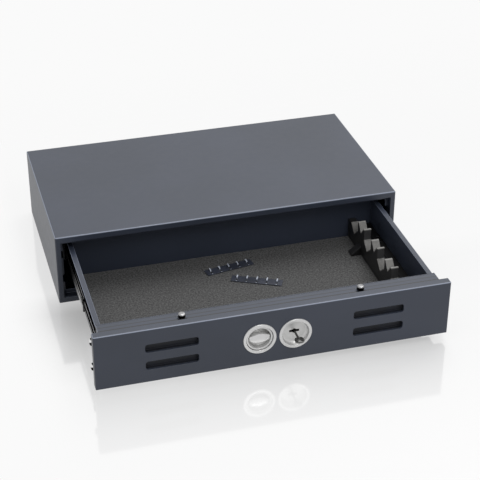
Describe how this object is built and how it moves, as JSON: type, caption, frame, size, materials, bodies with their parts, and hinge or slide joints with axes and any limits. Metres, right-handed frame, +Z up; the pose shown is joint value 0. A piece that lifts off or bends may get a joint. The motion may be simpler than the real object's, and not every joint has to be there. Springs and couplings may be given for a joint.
{
  "type": "drawer safe",
  "caption": "Flat steel safe whose felt-lined drawer runs on ball slides and locks on all sides with bolts, by a turn handle and a double-bit key; a notched rack stands inside.",
  "frame": {"origin": "middle of the casing's underside", "axes": "+X to the right as one faces the drawer, +Y from the drawer's front to the back, +Z up"},
  "size_m": [0.7, 0.7328, 0.15],
  "materials": {
    "anthracite_paint": "fine-textured satin powder coat, anthracite",
    "zinc_steel": "bright zinc-plated sheet steel",
    "satin_nickel": "satin nickel plate",
    "bolt_steel": "turned steel, nickel plated",
    "brass": "machined",
    "black_plastic": "moulded, satin black",
    "grey_lining": "ribbed soft lining",
    "black_paint": "dark anthracite powder coat",
    "grey_felt": "grey needle felt"
  },
  "bodies": {
    "casing": {"casing_shell": "anthracite_paint", "back_panel": "anthracite_paint", "keeper_left": "anthracite_paint", "keeper_right": "anthracite_paint", "keeper_top": "anthracite_paint", "keeper_bottom": "anthracite_paint", "slide_bracket_left": "anthracite_paint", "slide_bracket_right": "anthracite_paint", "cabinet_rail_left": "zinc_steel", "cabinet_rail_right": "zinc_steel", "cabinet_rail_screws": "zinc_steel"},
    "outer_cage_left": {"outer_ball_cage_left": "zinc_steel"},
    "outer_cage_right": {"outer_ball_cage_right": "zinc_steel"},
    "middle_slide_left": {"middle_rail_left": "zinc_steel", "rail_stop_left": "black_plastic"},
    "middle_slide_right": {"middle_rail_right": "zinc_steel", "rail_stop_right": "black_plastic"},
    "inner_cage_left": {"inner_ball_cage_left": "zinc_steel"},
    "inner_cage_right": {"inner_ball_cage_right": "zinc_steel"},
    "drawer": {"front_panel": "anthracite_paint", "carrier_plate": "zinc_steel", "slot_liners": "black_plastic", "bolt_housing": "anthracite_paint", "housing_cover": "anthracite_paint", "cover_posts": "zinc_steel", "cover_screws": "zinc_steel", "drawer_tray": "anthracite_paint", "felt_mat": "grey_felt", "bolt_guides": "black_plastic", "bar_studs": "zinc_steel", "spindle_bush": "brass", "handle_rosette": "satin_nickel", "lock_rosette": "satin_nickel", "lock_case": "zinc_steel", "lock_case_screws": "zinc_steel", "lever_pack": "brass", "drawer_rail_left": "zinc_steel", "drawer_rail_right": "zinc_steel", "drawer_rail_screws": "anthracite_paint", "barrel_rack": "black_plastic", "rack_lining": "grey_lining", "rack_shelf": "black_plastic", "rack_screws": "zinc_steel", "hook_strips": "black_paint"},
    "handle": {"handle_cup": "satin_nickel", "handle_spindle": "zinc_steel", "cam_disc": "zinc_steel"},
    "left_bar": {"slide_bar_left": "zinc_steel", "side_bolts_left": "bolt_steel", "side_bolt_screws_left": "zinc_steel"},
    "right_bar": {"slide_bar_right": "zinc_steel", "side_bolts_right": "bolt_steel", "side_bolt_screws_right": "zinc_steel"},
    "upper_bolt_left": {"upper_bolt_left": "bolt_steel"},
    "upper_bolt_right": {"upper_bolt_right": "bolt_steel"},
    "lower_bolt_left": {"lower_bolt_left": "bolt_steel"},
    "lower_bolt_right": {"lower_bolt_right": "bolt_steel"},
    "lock_drum": {"lock_drum": "brass"},
    "lock_bolt": {"lock_bolt": "brass"},
    "key": {"key": "satin_nickel"}
  },
  "joints": [
    {"name": "drawer_slide", "type": "slide", "parent": "casing", "child": "drawer", "axis": [0, -1, 0], "range_m": [-0.3205, 0.0045]},
    {"name": "outer_cage_slide_left", "type": "slide", "parent": "casing", "child": "outer_cage_left", "axis": [0, -1, 0], "range_m": [-0.09956, 0.0016]},
    {"name": "middle_slide_left", "type": "slide", "parent": "casing", "child": "middle_slide_left", "axis": [0, -1, 0], "range_m": [-0.19891, 0.00299]},
    {"name": "inner_cage_slide_left", "type": "slide", "parent": "casing", "child": "inner_cage_left", "axis": [0, -1, 0], "range_m": [-0.25981, 0.00384]},
    {"name": "outer_cage_slide_right", "type": "slide", "parent": "casing", "child": "outer_cage_right", "axis": [0, -1, 0], "range_m": [-0.09956, 0.0016]},
    {"name": "middle_slide_right", "type": "slide", "parent": "casing", "child": "middle_slide_right", "axis": [0, -1, 0], "range_m": [-0.19891, 0.00299]},
    {"name": "inner_cage_slide_right", "type": "slide", "parent": "casing", "child": "inner_cage_right", "axis": [0, -1, 0], "range_m": [-0.25981, 0.00384]},
    {"name": "left_bar_slide", "type": "slide", "parent": "drawer", "child": "left_bar", "axis": [-1, 0, 0], "range_m": [0, 0.0085]},
    {"name": "handle_turn", "type": "hinge", "parent": "drawer", "child": "handle", "pos_m": [-0.033, -0.5105, 0.0725], "axis": [0, 1, 0], "range_deg": [-0.5, 90.5]},
    {"name": "right_bar_slide", "type": "slide", "parent": "drawer", "child": "right_bar", "axis": [1, 0, 0], "range_m": [-0.0001, 0.0086]},
    {"name": "upper_bolt_slide_left", "type": "slide", "parent": "drawer", "child": "upper_bolt_left", "axis": [0, 0, 1], "range_m": [-0.0001, 0.0086]},
    {"name": "upper_bolt_slide_right", "type": "slide", "parent": "drawer", "child": "upper_bolt_right", "axis": [0, 0, 1], "range_m": [-0.0001, 0.0086]},
    {"name": "lower_bolt_slide_left", "type": "slide", "parent": "drawer", "child": "lower_bolt_left", "axis": [0, 0, -1], "range_m": [-0.0001, 0.0086]},
    {"name": "lower_bolt_slide_right", "type": "slide", "parent": "drawer", "child": "lower_bolt_right", "axis": [0, 0, -1], "range_m": [-0.0001, 0.0086]},
    {"name": "key_turn", "type": "hinge", "parent": "drawer", "child": "lock_drum", "pos_m": [0.0347, -0.5105, 0.0725], "axis": [0, 1, 0], "range_deg": [0, 180]},
    {"name": "lock_bolt_slide", "type": "slide", "parent": "drawer", "child": "lock_bolt", "axis": [-1, 0, 0], "range_m": [-0.0001, 0.0081]},
    {"name": "key_pull", "type": "slide", "parent": "lock_drum", "child": "key", "axis": [0, -1, 0], "range_m": [0, 0.06]}
  ],
  "couplings": [
    {"joint": "outer_cage_slide_left", "follows": "drawer_slide", "ratio": 0.31},
    {"joint": "middle_slide_left", "follows": "drawer_slide", "ratio": 0.62},
    {"joint": "inner_cage_slide_left", "follows": "drawer_slide", "ratio": 0.81},
    {"joint": "outer_cage_slide_right", "follows": "drawer_slide", "ratio": 0.31},
    {"joint": "middle_slide_right", "follows": "drawer_slide", "ratio": 0.62},
    {"joint": "inner_cage_slide_right", "follows": "drawer_slide", "ratio": 0.81},
    {"joint": "handle_turn", "follows": "left_bar_slide", "rad_per_m": 184.8},
    {"joint": "right_bar_slide", "follows": "left_bar_slide", "ratio": 1},
    {"joint": "upper_bolt_slide_left", "follows": "left_bar_slide", "ratio": 1},
    {"joint": "upper_bolt_slide_right", "follows": "left_bar_slide", "ratio": 1},
    {"joint": "lower_bolt_slide_left", "follows": "left_bar_slide", "ratio": 1},
    {"joint": "lower_bolt_slide_right", "follows": "left_bar_slide", "ratio": 1},
    {"joint": "lock_bolt_slide", "follows": "key_turn", "m_per_rad": 0.0025465}
  ]
}
